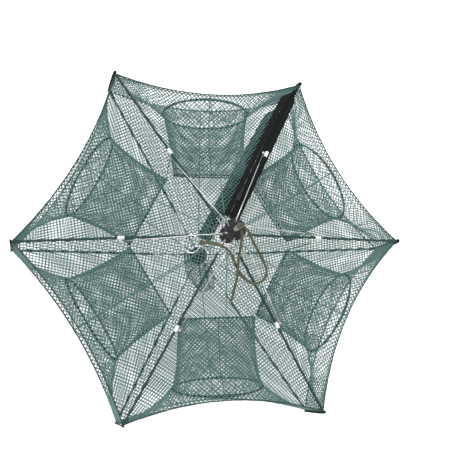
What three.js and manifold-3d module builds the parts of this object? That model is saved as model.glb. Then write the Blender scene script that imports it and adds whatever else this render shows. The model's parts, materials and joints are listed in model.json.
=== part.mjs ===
// Folding crab trap: a six-sided umbrella frame of spring-wire ribs, covered in netting, with an
// entrance hoop and funnel in every side. Millimetres, +Z up, origin under the middle of the base.
import * as THREE from "three";
import { mergeVertices } from "three/addons/utils/BufferGeometryUtils.js";
import Module from "manifold-3d";

const wasm = await Module();
wasm.setup();

// Driving dimensions
const sides = 6;
const cornerRadius = 400; // axis to the rib tips
const hubPivotRadius = 14;
const bottomPivotHeight = 10;
const bottomTipHeight = 82;
const topTipHeight = 178;
const topPivotHeight = 250;
const crownPivotHeight = 300;
const crownPivotRadius = 17;
const hubRim = 2.4; // hub disc beyond the pivots
const footRadius = 20;
const footThickness = 3.2;
const tubeBore = 3.2;
const tubeRadius = 4.5;
const tubeTop = 326;
const hubBore = 4.8; // clears the guide tube
const ribWire = 2.6; // wire diameters
const strutWire = 2.0;
const eyeRadius = 2.4;
const eyeWire = 1.9;
const hoopWire = 4.0; // wire with its wrapping
const clipAlongRib = 190; // hub pivot to clip
const strutAside = 6.5; // the struts run beside the ribs
const hoopRadius = 288; // axis to the middle of an entrance hoop
const hoopHeight = 125;
const hoopHalfWidth = 93;
const hoopHalfHeight = 46;
const hoopLean = THREE.MathUtils.degToRad(22); // the hoops face out and down
const slitRadius = 150; // axis to the inner mouth of a funnel
const slitHalfWidth = 80;
const slitHalfHeight = 7;
const netThickness = 1.2;
const underRibs = 6.4; // the top net hangs this far under the rib wires
const belowRibs = 2.6; // the bottom net lies this far below its rib wires
const netHole = 30; // radius left open round a hub
const sidePull = 32; // how far a taut side of the net stands in from a straight one
const ropeDiameter = 5;
const zipWidth = 32;
const zipThickness = 1.6;
const zipAside = 8; // the tapes lie across the second rib, most of them to one side
const zipStart = 22; // along the rib from its hub pivot
const zipTipGap = 24;
const zipUnderTop = 5.1; // the upper tape lies between the rib and the top net
const zipUnderBottom = 6; // the lower tape lies under the bottom net
const sliderAside = 13; // the slider runs clear of the rib clip and the strut
const sliderStart = 70;
const strapWidth = 16;
const strapThickness = 1.6;
const strapOut = 3.4; // rib tips to the strap
const clipLength = 13;
const clipRadius = 3.6;
const pullRingRadius = 16.5;
const pullRingWire = 2.6;
const pullRingAt = [-78, -22, 270.8];
const pullRingFacing = [-0.4748, -0.35, 1];

const steel = () => new THREE.MeshStandardMaterial({ color: 0xb9bcbd, roughness: 0.3, metalness: 1 });
const blackPlastic = () => new THREE.MeshStandardMaterial({ color: 0x18191a, roughness: 0.5 });
const whiteNylon = () => new THREE.MeshStandardMaterial({ color: 0xe9ebe8, roughness: 0.45 });
const netGreen = () => new THREE.MeshStandardMaterial({
  color: 0x3d6a5f, roughness: 0.85, transparent: true, opacity: 0.55,
});
const greenWrap = () => new THREE.MeshStandardMaterial({ color: 0x1f4a41, roughness: 0.8 });
const blackWebbing = () => new THREE.MeshStandardMaterial({ color: 0x151717, roughness: 0.9 });
const oliveRope = () => new THREE.MeshStandardMaterial({ color: 0x5f5a3c, roughness: 0.9 });
const clearTube = () => new THREE.MeshStandardMaterial({
  color: 0xdfe6e4, roughness: 0.35, transparent: true, opacity: 0.6,
});

const model = new THREE.Group();
const turn = (Math.PI * 2) / sides;
const ribSlope = Math.atan2(bottomTipHeight - bottomPivotHeight, cornerRadius - hubPivotRadius);
const ribLength = (cornerRadius - hubPivotRadius) / Math.cos(ribSlope);

function addMesh(name, geometry, material, parent = model) {
  const mesh = new THREE.Mesh(geometry, material);
  mesh.name = name;
  parent.add(mesh);
  return mesh;
}

function solidOf(geometry) {
  const bare = geometry.clone();
  bare.deleteAttribute("normal");
  if (bare.getAttribute("uv")) bare.deleteAttribute("uv");
  const merged = mergeVertices(bare, 1e-3);
  return new wasm.Manifold(new wasm.Mesh({
    numProp: 3,
    vertProperties: Float32Array.from(merged.getAttribute("position").array),
    triVerts: Uint32Array.from(merged.getIndex().array),
  }));
}

function geometryOf(solid) {
  const mesh = solid.getMesh();
  const geometry = new THREE.BufferGeometry();
  geometry.setAttribute("position", new THREE.BufferAttribute(mesh.vertProperties, 3));
  geometry.setIndex(new THREE.BufferAttribute(mesh.triVerts, 1));
  return geometry;
}

function join(...geometries) {
  return geometryOf(geometries.map(solidOf).reduce((whole, next) => whole.add(next)));
}

function cut(geometry, ...tools) {
  return geometryOf(tools.map(solidOf).reduce((whole, tool) => whole.subtract(tool), solidOf(geometry)));
}

// A group turned to one of the six ribs, or to the middle of a side with a half step.
function sector(step) {
  const group = new THREE.Group();
  group.rotation.z = step * turn;
  model.add(group);
  return group;
}

// A rod in the XZ plane from one point to another, set aside along Y.
function rod(from, to, diameter, aside = 0, faces = 8) {
  const start = new THREE.Vector3(from[0], aside, from[1]);
  const along = new THREE.Vector3(to[0] - from[0], 0, to[1] - from[1]);
  const geometry = new THREE.CylinderGeometry(diameter / 2, diameter / 2, along.length(), faces);
  geometry.translate(0, along.length() / 2, 0);
  const lie = new THREE.Quaternion().setFromUnitVectors(
    new THREE.Vector3(0, 1, 0), along.clone().normalize());
  geometry.applyQuaternion(lie);
  geometry.translate(start.x, start.y, start.z);
  return geometry;
}

// A small wire eye in the XZ plane, round a pivot that runs along Y.
function eye(at, aside) {
  const geometry = new THREE.TorusGeometry(eyeRadius, eyeWire / 2, 6, 10);
  geometry.rotateX(Math.PI / 2);
  geometry.translate(at[0], aside, at[1]);
  return geometry;
}

// A rib or strut: a wire with an eye at its hub and, if asked, another at its far end.
function armGeometry(hub, tip, wire, aside, farEye) {
  const along = new THREE.Vector2(tip[0] - hub[0], tip[1] - hub[1]).normalize();
  const from = [hub[0] + along.x * eyeRadius, hub[1] + along.y * eyeRadius];
  const to = farEye ? [tip[0] - along.x * eyeRadius, tip[1] - along.y * eyeRadius] : tip;
  const pieces = [rod(from, to, wire, aside), eye(hub, aside)];
  if (farEye) pieces.push(eye(tip, aside));
  return join(...pieces);
}

// A hub: a round disc with a slot for each arm, a groove for the ring wire and a hole.
function hubGeometry({ radius, pivotRadius, low, high, pivot, hole, aside }) {
  const slotHalf = 2.1;
  const slotRoot = pivotRadius - 5;
  const disc = new THREE.CylinderGeometry(radius, radius, high - low, 36);
  disc.rotateX(Math.PI / 2);
  disc.translate(0, 0, (low + high) / 2);
  const tools = [];
  for (let i = 0; i < sides; i++) {
    const slot = new THREE.BoxGeometry(radius, slotHalf * 2, high - low + 2);
    slot.translate(slotRoot + radius / 2, aside, (low + high) / 2);
    slot.rotateZ(i * turn);
    tools.push(slot);
  }
  const groove = new THREE.TorusGeometry(Math.hypot(pivotRadius, aside), 1.15, 6, 30);
  groove.translate(0, 0, pivot);
  tools.push(groove);
  if (hole) {
    const bore = new THREE.CylinderGeometry(hole, hole, high - low + 2, 32);
    bore.rotateX(Math.PI / 2);
    bore.translate(0, 0, (low + high) / 2);
    tools.push(bore);
  }
  return cut(disc, ...tools);
}

function ringWire(radius, height, wire = 1.6) {
  const geometry = new THREE.TorusGeometry(radius, wire / 2, 6, 30);
  geometry.translate(0, 0, height);
  return geometry;
}

function addHubs() {
  const star = hubGeometry({
    radius: hubPivotRadius + hubRim, pivotRadius: hubPivotRadius, low: footThickness - 0.2,
    high: bottomPivotHeight + 5, pivot: bottomPivotHeight, hole: 0, aside: 0,
  });
  const foot = new THREE.CylinderGeometry(footRadius, footRadius, footThickness, 36);
  foot.rotateX(Math.PI / 2);
  foot.translate(0, 0, footThickness / 2);
  addMesh("bottom_hub", join(star, foot), blackPlastic());
  addMesh("bottom_hub_wire", ringWire(hubPivotRadius, bottomPivotHeight), steel());
  addMesh("top_hub", hubGeometry({
    radius: hubPivotRadius + hubRim, pivotRadius: hubPivotRadius, low: topPivotHeight - 6,
    high: topPivotHeight + 2.5, pivot: topPivotHeight, hole: hubBore, aside: 0,
  }), blackPlastic());
  addMesh("top_hub_wire", ringWire(hubPivotRadius, topPivotHeight), steel());
  addMesh("crown", hubGeometry({
    radius: Math.hypot(crownPivotRadius, strutAside) + hubRim, pivotRadius: crownPivotRadius,
    low: crownPivotHeight - 3.9, high: crownPivotHeight + 3.9, pivot: crownPivotHeight,
    hole: hubBore, aside: strutAside,
  }), blackPlastic());
  addMesh("crown_wire", ringWire(Math.hypot(crownPivotRadius, strutAside), crownPivotHeight), steel());
}

// The pull rope runs up through this tube, which guides the crown.
function addGuideTube() {
  const low = topPivotHeight - 6;
  const profile = [
    [tubeBore, low], [tubeRadius, low], [tubeRadius, tubeTop], [tubeBore, tubeTop], [tubeBore, low],
  ];
  const tube = new THREE.LatheGeometry(profile.map(([r, z]) => new THREE.Vector2(r, z)), 24);
  tube.rotateX(Math.PI / 2);
  tube.scale(1, -1, 1);
  addMesh("guide_tube", facingOut(tube), clearTube());
}

// Turns a mesh's faces round when its volume is negative.
function facingOut(geometry) {
  const bare = geometry.clone();
  bare.deleteAttribute("normal");
  if (bare.getAttribute("uv")) bare.deleteAttribute("uv");
  const merged = mergeVertices(bare, 1e-3);
  const at = merged.getAttribute("position");
  const index = merged.getIndex().array;
  const [a, b, c] = [new THREE.Vector3(), new THREE.Vector3(), new THREE.Vector3()];
  let volume = 0;
  for (let i = 0; i < index.length; i += 3) {
    a.fromBufferAttribute(at, index[i]);
    b.fromBufferAttribute(at, index[i + 1]);
    c.fromBufferAttribute(at, index[i + 2]);
    volume += a.dot(b.clone().cross(c));
  }
  if (volume < 0) {
    for (let i = 0; i < index.length; i += 3) [index[i], index[i + 1]] = [index[i + 1], index[i]];
  }
  return merged;
}

const topAt = (along) => [
  hubPivotRadius + along * Math.cos(ribSlope), topPivotHeight - along * Math.sin(ribSlope),
];
const bottomAt = (along) => [
  hubPivotRadius + along * Math.cos(ribSlope), bottomPivotHeight + along * Math.sin(ribSlope),
];

function addArms(i) {
  const group = sector(i - 1);
  addMesh(`bottom_rib_${i}`, armGeometry(
    [hubPivotRadius, bottomPivotHeight], bottomAt(ribLength - 1), ribWire, 0, false,
  ), steel(), group);
  addMesh(`top_rib_${i}`, armGeometry(
    [hubPivotRadius, topPivotHeight], topAt(ribLength - 1), ribWire, 0, false,
  ), steel(), group);
  addMesh(`strut_${i}`, armGeometry(
    [crownPivotRadius, crownPivotHeight], topAt(clipAlongRib), strutWire, strutAside, true,
  ), steel(), group);
  addMesh(`rib_clip_${i}`, clipGeometry(), whiteNylon(), group);
  addMesh(`corner_strap_${i}`, strapGeometry(), blackWebbing(), group);
}

// A nylon collar on the rib. The strut's eye lies beside it.
function clipGeometry() {
  const outline = new THREE.Shape();
  outline.absarc(0, 0, clipRadius, 0, Math.PI * 2);
  const bore = new THREE.Path();
  bore.absarc(0, 0, ribWire / 2 + 0.35, 0, Math.PI * 2);
  outline.holes.push(bore);
  const geometry = new THREE.ExtrudeGeometry(outline, {
    depth: clipLength, bevelEnabled: false, curveSegments: 7,
  });
  geometry.translate(0, 0, -clipLength / 2);
  geometry.rotateY(Math.PI / 2 + ribSlope);
  const [x, z] = topAt(clipAlongRib);
  geometry.translate(x, 0, z);
  return geometry;
}

// The webbing at a corner joins the bottom tip pocket to the top one.
function strapGeometry() {
  const strap = new THREE.BoxGeometry(strapThickness, strapWidth, topTipHeight - bottomTipHeight + 14);
  strap.translate(cornerRadius + strapOut, 0, (topTipHeight + bottomTipHeight) / 2);
  return strap;
}

// A point on an oval whose long axis is Y and whose short axis leans with the hoop.
function ovalPoint(angle, halfWidth, halfHeight, lean, radius, height) {
  const rise = halfHeight * Math.sin(angle);
  return new THREE.Vector3(
    radius + rise * Math.sin(lean), halfWidth * Math.cos(angle), height + rise * Math.cos(lean));
}

// A closed oval of round wire.
function hoopGeometry() {
  const ring = new THREE.TorusGeometry(1, 0.1, 8, 32);
  const at = ring.getAttribute("position");
  for (let i = 0; i < at.count; i++) {
    const angle = Math.atan2(at.getY(i), at.getX(i));
    const out = ((Math.hypot(at.getX(i), at.getY(i)) - 1) / 0.1) * (hoopWire / 2);
    const aside = (at.getZ(i) / 0.1) * (hoopWire / 2);
    const normal = new THREE.Vector2(
      Math.cos(angle) / hoopHalfWidth, Math.sin(angle) / hoopHalfHeight).normalize();
    const width = hoopHalfWidth * Math.cos(angle) + out * normal.x;
    const rise = hoopHalfHeight * Math.sin(angle) + out * normal.y;
    at.setXYZ(i,
      hoopRadius + rise * Math.sin(hoopLean) + aside * Math.cos(hoopLean), width,
      hoopHeight + rise * Math.cos(hoopLean) - aside * Math.sin(hoopLean));
  }
  return facingOut(ring);
}

// A thin closed sheet between matching rows of points, given as its outer and inner skins.
function shellBetween(outer, inner, closed) {
  const rows = outer.length;
  const columns = outer[0].length;
  const points = [...outer.flat(), ...inner.flat()];
  const faces = [];
  const outside = (r, c) => r * columns + (c % columns);
  const inside = (r, c) => rows * columns + r * columns + (c % columns);
  const quad = (a, b, c, d) => faces.push(a, b, c, a, c, d);
  const last = closed ? columns : columns - 1;
  for (let c = 0; c < last; c++) {
    for (let r = 0; r < rows - 1; r++) {
      quad(outside(r, c), outside(r, c + 1), outside(r + 1, c + 1), outside(r + 1, c));
      quad(inside(r, c), inside(r + 1, c), inside(r + 1, c + 1), inside(r, c + 1));
    }
    quad(outside(0, c + 1), outside(0, c), inside(0, c), inside(0, c + 1));
    quad(outside(rows - 1, c), outside(rows - 1, c + 1), inside(rows - 1, c + 1), inside(rows - 1, c));
  }
  for (let r = 0; !closed && r < rows - 1; r++) {
    quad(outside(r, 0), outside(r + 1, 0), inside(r + 1, 0), inside(r, 0));
    quad(outside(r + 1, last), outside(r, last), inside(r, last), inside(r + 1, last));
  }
  const geometry = new THREE.BufferGeometry();
  geometry.setAttribute("position", new THREE.BufferAttribute(
    Float32Array.from(points.flatMap((p) => [p.x, p.y, p.z])), 3));
  geometry.setIndex(faces);
  return facingOut(geometry);
}

// The net funnel behind a hoop, drawn in to a long flat mouth.
function funnelGeometry() {
  const rows = 3;
  const columns = 24;
  const skin = (grow) => Array.from({ length: rows }, (_, r) => Array.from({ length: columns }, (_, c) => {
    const inward = r / (rows - 1);
    const angle = (c / columns) * Math.PI * 2;
    const clear = hoopWire / 2 + 1;
    const start = ovalPoint(
      angle, hoopHalfWidth - clear + grow, hoopHalfHeight - clear + grow, hoopLean,
      hoopRadius - 4, hoopHeight);
    const end = ovalPoint(
      angle, slitHalfWidth + grow, slitHalfHeight + grow, hoopLean * 0.4, slitRadius, hoopHeight);
    return start.lerp(end, inward);
  }));
  return shellBetween(skin(0), skin(-netThickness), true);
}

// How far out the net reaches, as a share of the corner radius, at an angle from the nearest rib.
function sideReach(angle) {
  const fromRib = Math.abs(angle - Math.round(angle / turn) * turn) / (turn / 2);
  const straight = Math.cos(turn / 2) / Math.cos(turn / 2 - fromRib * (turn / 2));
  return straight - (sidePull / cornerRadius) * (1 - (1 - fromRib) ** 2);
}

// One of the two six-sided net covers, just inside or outside its ribs.
function coverGeometry(hubHeight, tipHeight, offset) {
  const rows = 4;
  const columns = sides * 8;
  const outerRadius = cornerRadius - 1.5;
  const skin = (lift) => Array.from({ length: rows }, (_, r) => Array.from({ length: columns }, (_, c) => {
    const angle = (c / columns) * Math.PI * 2;
    const share = r / (rows - 1);
    const radius = netHole + share * (outerRadius * sideReach(angle) - netHole);
    const slope = (tipHeight - hubHeight) / (cornerRadius - hubPivotRadius);
    const height = hubHeight + (radius / sideReach(angle) ** share - hubPivotRadius) * slope;
    return new THREE.Vector3(radius * Math.cos(angle), radius * Math.sin(angle), height + offset + lift);
  }));
  return shellBetween(skin(netThickness), skin(0), true);
}

// The upright net round the sides, with an oval hole for each hoop.
function sideNetGeometry() {
  const rows = 2;
  const columns = sides * 8;
  const low = bottomTipHeight + 1;
  const high = topTipHeight - 1;
  const skin = (out) => Array.from({ length: rows }, (_, r) => Array.from({ length: columns }, (_, c) => {
    const angle = (c / columns) * Math.PI * 2;
    const radius = (cornerRadius + 1.6) * sideReach(angle) - out;
    const height = low + (r / (rows - 1)) * (high - low);
    return new THREE.Vector3(radius * Math.cos(angle), radius * Math.sin(angle), height);
  }));
  const band = shellBetween(skin(0), skin(netThickness), true);
  const holes = Array.from({ length: sides }, (_, i) => {
    const hole = new THREE.CylinderGeometry(1, 1, 90, 20);
    hole.rotateZ(Math.PI / 2);
    hole.scale(1, hoopHalfWidth - 4, (topTipHeight - bottomTipHeight) / 2 - 8);
    hole.translate(cornerRadius * Math.cos(turn / 2) - 20, 0, hoopHeight);
    hole.rotateZ((i + 0.5) * turn);
    return hole;
  });
  return cut(band, ...holes);
}

// A flat tape beside a rib, on the outside of the net.
function zipTape(hub, tip, lift) {
  const zipEnd = ribLength - zipTipGap;
  const tape = new THREE.BoxGeometry(zipEnd - zipStart, zipWidth, zipThickness);
  tape.translate((zipEnd + zipStart) / 2, zipAside, lift);
  const slope = Math.atan2(tip[1] - hub[1], tip[0] - hub[0]);
  tape.rotateY(-slope);
  tape.translate(hub[0], 0, hub[1]);
  return tape;
}

function addZip() {
  const group = sector(1);
  const topHub = [hubPivotRadius, topPivotHeight];
  addMesh("zip_tape_top", zipTape(topHub, [cornerRadius, topTipHeight], -zipUnderTop),
    blackWebbing(), group);
  addMesh("zip_tape_bottom", zipTape(
    [hubPivotRadius, bottomPivotHeight], [cornerRadius, bottomTipHeight], -zipUnderBottom,
  ), blackWebbing(), group);
  const slider = new THREE.BoxGeometry(16, 9, 4);
  slider.translate(sliderStart, sliderAside, zipThickness / 2 + 2.3 - zipUnderTop);
  slider.rotateY(ribSlope);
  slider.translate(topHub[0], 0, topHub[1]);
  addMesh("zip_slider", slider, blackPlastic(), group);
}

// The pull rope leaves the knot over the guide tube, makes a loop that rests on the struts, and
// ends in the pull ring. Its tail hangs down over the net.
const knotHeight = 333;
const knotRadius = 6.2;
const ropeRoute = [
  [7.6, -2.5, 334], [16, -9, 330], [26, -20, 316], [38, -32, 300], [50, -44, 286], [60, -56, 275],
  [67, -68, 268], [68, -80, 266], [61, -91, 266], [49, -97, 267], [37, -97, 268], [26, -90, 268],
  [15, -79, 269], [6, -65, 275], [-3, -51, 286], [-13, -39, 295], [-26, -31, 297], [-41, -25, 291],
  [-58, -21, 280.5],
];
const tailRoute = [
  [2.5, -8, 332], [5, -18, 325], [7, -31, 309], [8, -45, 294], [8, -59, 284], [8, -73, 277],
  [8, -87, 268], [7, -101, 256], [6, -114, 244], [5, -125, 234],
];

function tubeAlong(points, diameter, faces, steps) {
  const curve = new THREE.CatmullRomCurve3(points.map((p) => new THREE.Vector3(...p)));
  const section = new THREE.Shape();
  section.absarc(0, 0, diameter / 2, 0, Math.PI * 2);
  return new THREE.ExtrudeGeometry(section, {
    steps, extrudePath: curve, bevelEnabled: false, curveSegments: faces / 2,
  });
}

function addRope() {
  addMesh("lift_rope", tubeAlong(ropeRoute, ropeDiameter, 8, 32), oliveRope());
  addMesh("rope_tail", tubeAlong(tailRoute, ropeDiameter, 8, 14), oliveRope());
  const knot = new THREE.SphereGeometry(knotRadius, 12, 8);
  knot.translate(0, 0, knotHeight);
  addMesh("rope_knot", knot, oliveRope());
  const ring = new THREE.TorusGeometry(pullRingRadius, pullRingWire / 2, 6, 24);
  const lie = new THREE.Vector3(...pullRingFacing).normalize();
  ring.applyQuaternion(new THREE.Quaternion().setFromUnitVectors(new THREE.Vector3(0, 0, 1), lie));
  ring.translate(...pullRingAt);
  addMesh("pull_ring", ring, steel());
}

addHubs();
addGuideTube();
for (let i = 1; i <= sides; i++) {
  addArms(i);
  const panel = sector(i - 0.5);
  addMesh(`entrance_hoop_${i}`, hoopGeometry(), greenWrap(), panel);
  addMesh(`entrance_funnel_${i}`, funnelGeometry(), netGreen(), panel);
}
addMesh("top_net", coverGeometry(topPivotHeight, topTipHeight, -underRibs - netThickness), netGreen());
addMesh("bottom_net", coverGeometry(
  bottomPivotHeight, bottomTipHeight, -belowRibs - netThickness), netGreen());
addMesh("side_net", sideNetGeometry(), netGreen());
addZip();
addRope();

export default model;
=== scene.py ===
import json
import math
import bmesh
import bpy
from mathutils import Matrix, Vector, noise


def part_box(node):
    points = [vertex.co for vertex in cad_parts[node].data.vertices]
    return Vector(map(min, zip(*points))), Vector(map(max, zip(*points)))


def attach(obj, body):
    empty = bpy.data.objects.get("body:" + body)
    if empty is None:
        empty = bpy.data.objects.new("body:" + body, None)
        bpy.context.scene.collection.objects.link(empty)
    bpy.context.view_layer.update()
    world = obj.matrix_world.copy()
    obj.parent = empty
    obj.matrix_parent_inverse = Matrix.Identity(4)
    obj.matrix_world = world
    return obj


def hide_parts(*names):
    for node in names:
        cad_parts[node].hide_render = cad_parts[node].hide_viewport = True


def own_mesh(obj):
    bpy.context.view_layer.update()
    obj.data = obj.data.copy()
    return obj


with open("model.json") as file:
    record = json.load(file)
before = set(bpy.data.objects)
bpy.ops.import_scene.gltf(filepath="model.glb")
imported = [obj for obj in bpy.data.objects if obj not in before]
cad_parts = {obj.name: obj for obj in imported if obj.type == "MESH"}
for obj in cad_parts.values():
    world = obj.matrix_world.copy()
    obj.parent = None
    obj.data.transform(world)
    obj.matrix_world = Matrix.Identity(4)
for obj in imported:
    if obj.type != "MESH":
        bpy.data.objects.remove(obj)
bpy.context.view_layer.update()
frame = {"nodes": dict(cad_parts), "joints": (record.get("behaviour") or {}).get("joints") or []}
scene = bpy.context.scene
mm = 0.001
sixth = math.pi / 3
print("frame loaded:", len(frame["nodes"]), "nodes")

joints = {joint["name"]: joint for joint in frame["joints"]}
pivots = {name: Vector(joint["pos_m"]) for name, joint in joints.items() if "pos_m" in joint}
trap = {
    "cornerRadius": pivots["corner_1_hinge"].x,
    "hubPivotRadius": pivots["fold"].x,
    "bottomPivot": pivots["fold"].z,
    "bottomTip": pivots["corner_1_hinge"].z,
    "topTip": pivots["top_rib_1_tip_hinge"].z,
    "topPivot": pivots["top_hub_hinge"].z,
    # how far each taut side edge curves in, from the side after the first rib
    "sidePull": [32 * mm, 34 * mm, 25 * mm, 22 * mm, 33 * mm, 34 * mm],
    "ribWire": 2.6 * mm,
}
trap["apothem"] = trap["cornerRadius"] * math.cos(sixth / 2)
trap["halfSide"] = trap["cornerRadius"] * math.sin(sixth / 2)
ribRun = trap["cornerRadius"] - trap["hubPivotRadius"]
ribSlope = math.atan2(trap["bottomTip"] - trap["bottomPivot"], ribRun)
ribLength = ribRun / math.cos(ribSlope)
zipRib = 2                     # the zip lies along this rib


def turnZ(angle):
    return Matrix.Rotation(angle, 4, "Z")


def ribAngle(i):
    return (i - 1) * sixth


def panelAngle(i):
    return (i - 0.5) * sixth


camera = {
    "azimuth": math.radians(214.65),
    "elevation": math.radians(70.9),
    "roll": math.radians(53.96),
    "distance": 1.5,
    "middle": Vector((0, 0, 0.13)),
    "aside": 0.0262,           # the trap stands left of and below the middle of the frame
    "above": 0.0270,
    "heightSeen": 0.967,
}


def addCamera(c):
    back = Vector((math.cos(c["elevation"]) * math.cos(c["azimuth"]),
                   math.cos(c["elevation"]) * math.sin(c["azimuth"]),
                   math.sin(c["elevation"])))
    level = Vector((0, 0, 1)).cross(back).normalized()
    rise = back.cross(level)
    right = level * math.cos(c["roll"]) + rise * math.sin(c["roll"])
    up = rise * math.cos(c["roll"]) - level * math.sin(c["roll"])
    data = bpy.data.cameras.new("camera")
    data.sensor_fit = "VERTICAL"
    data.sensor_height = 24
    data.lens = 24 * c["distance"] / c["heightSeen"]
    holder = bpy.data.objects.new("camera", data)
    scene.collection.objects.link(holder)
    spot = c["middle"] + right * c["aside"] + up * c["above"] + back * c["distance"]
    turn = Matrix((right, up, back)).transposed().to_4x4()
    holder.matrix_world = Matrix.Translation(spot) @ turn
    scene.camera = holder


addCamera(camera)


def nodeGroup(name, inputs, outputs):
    group = bpy.data.node_groups.new(name, "ShaderNodeTree")
    for label, kind, value in inputs:
        socket = group.interface.new_socket(label, in_out="INPUT", socket_type=kind)
        socket.default_value = value
    for label, kind in outputs:
        group.interface.new_socket(label, in_out="OUTPUT", socket_type=kind)
    start = group.nodes.new("NodeGroupInput")
    end = group.nodes.new("NodeGroupOutput")
    return group, start, end


def makeGrain():
    # cloudy change of colour and roughness, from two sizes of noise
    group, start, end = nodeGroup("Grain", [
        ("Dark", "NodeSocketColor", (0, 0, 0, 1)), ("Light", "NodeSocketColor", (1, 1, 1, 1)),
        ("Scale", "NodeSocketFloat", 40.0), ("Fine Scale", "NodeSocketFloat", 900.0),
        ("Rough Low", "NodeSocketFloat", 0.4), ("Rough High", "NodeSocketFloat", 0.6),
    ], [("Color", "NodeSocketColor"), ("Roughness", "NodeSocketFloat"), ("Height", "NodeSocketFloat")])
    n, link = group.nodes, group.links.new
    coords = n.new("ShaderNodeTexCoord")
    broad = n.new("ShaderNodeTexNoise")
    fine = n.new("ShaderNodeTexNoise")
    fine.inputs["Detail"].default_value = 3
    mixed = n.new("ShaderNodeMath")
    mixed.operation = "MULTIPLY_ADD"
    mixed.inputs[1].default_value = 0.35
    colour = n.new("ShaderNodeMix")
    colour.data_type = "RGBA"
    rough = n.new("ShaderNodeMapRange")
    for noiseNode, label in ((broad, "Scale"), (fine, "Fine Scale")):
        link(coords.outputs["Object"], noiseNode.inputs["Vector"])
        link(start.outputs[label], noiseNode.inputs["Scale"])
    link(fine.outputs["Fac"], mixed.inputs[0])
    link(broad.outputs["Fac"], mixed.inputs[2])
    link(mixed.outputs[0], colour.inputs["Factor"])
    link(start.outputs["Dark"], colour.inputs[6])
    link(start.outputs["Light"], colour.inputs[7])
    link(fine.outputs["Fac"], rough.inputs["Value"])
    link(start.outputs["Rough Low"], rough.inputs["To Min"])
    link(start.outputs["Rough High"], rough.inputs["To Max"])
    link(colour.outputs[2], end.inputs["Color"])
    link(rough.outputs["Result"], end.inputs["Roughness"])
    link(fine.outputs["Fac"], end.inputs["Height"])
    return group


def makeRibbing():
    # fine raised ribs across one axis and along another, as on woven tape
    group, start, end = nodeGroup("Ribbing", [
        ("Across", "NodeSocketVector", (0, 0, 1)), ("Along", "NodeSocketVector", (1, 0, 0)),
        ("Pitch", "NodeSocketFloat", 0.0016),
    ], [("Height", "NodeSocketFloat")])
    n, link = group.nodes, group.links.new
    coords = n.new("ShaderNodeTexCoord")
    waves = []
    for label, stretch in (("Across", 1.0), ("Along", 0.62)):
        dot = n.new("ShaderNodeVectorMath")
        dot.operation = "DOT_PRODUCT"
        turns = n.new("ShaderNodeMath")
        turns.operation = "DIVIDE"
        scaled = n.new("ShaderNodeMath")
        scaled.operation = "MULTIPLY"
        scaled.inputs[1].default_value = 2 * math.pi * stretch
        wave = n.new("ShaderNodeMath")
        wave.operation = "SINE"
        link(coords.outputs["Object"], dot.inputs[0])
        link(start.outputs[label], dot.inputs[1])
        link(dot.outputs["Value"], turns.inputs[0])
        link(start.outputs["Pitch"], turns.inputs[1])
        link(turns.outputs[0], scaled.inputs[0])
        link(scaled.outputs[0], wave.inputs[0])
        waves.append(wave)
    both = n.new("ShaderNodeMath")
    both.operation = "MULTIPLY"
    link(waves[0].outputs[0], both.inputs[0])
    link(waves[1].outputs[0], both.inputs[1])
    link(both.outputs[0], end.inputs["Height"])
    return group


grain = makeGrain()
ribbing = makeRibbing()


def makeMaterial(name, dark, light, rough=(0.4, 0.6), scale=40, fineScale=900, bump=0.2,
                 depth=0.0002, weave=None, **shader):
    material = bpy.data.materials.new(name)
    material.use_nodes = True
    n, link = material.node_tree.nodes, material.node_tree.links.new
    bsdf = n["Principled BSDF"]
    clouds = n.new("ShaderNodeGroup")
    clouds.node_tree = grain
    for label, value in (("Dark", (*dark, 1)), ("Light", (*light, 1)), ("Scale", scale),
                         ("Fine Scale", fineScale), ("Rough Low", rough[0]), ("Rough High", rough[1])):
        clouds.inputs[label].default_value = value
    relief = n.new("ShaderNodeBump")
    relief.inputs["Strength"].default_value = bump
    relief.inputs["Distance"].default_value = depth
    link(clouds.outputs["Color"], bsdf.inputs["Base Color"])
    link(clouds.outputs["Roughness"], bsdf.inputs["Roughness"])
    if weave:
        ribs = n.new("ShaderNodeGroup")
        ribs.node_tree = ribbing
        for label, value in weave.items():
            ribs.inputs[label].default_value = value
        link(ribs.outputs["Height"], relief.inputs["Height"])
    else:
        link(clouds.outputs["Height"], relief.inputs["Height"])
    link(relief.outputs["Normal"], bsdf.inputs["Normal"])
    for label, value in shader.items():
        bsdf.inputs[label.replace("_", " ")].default_value = value
    return material


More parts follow.
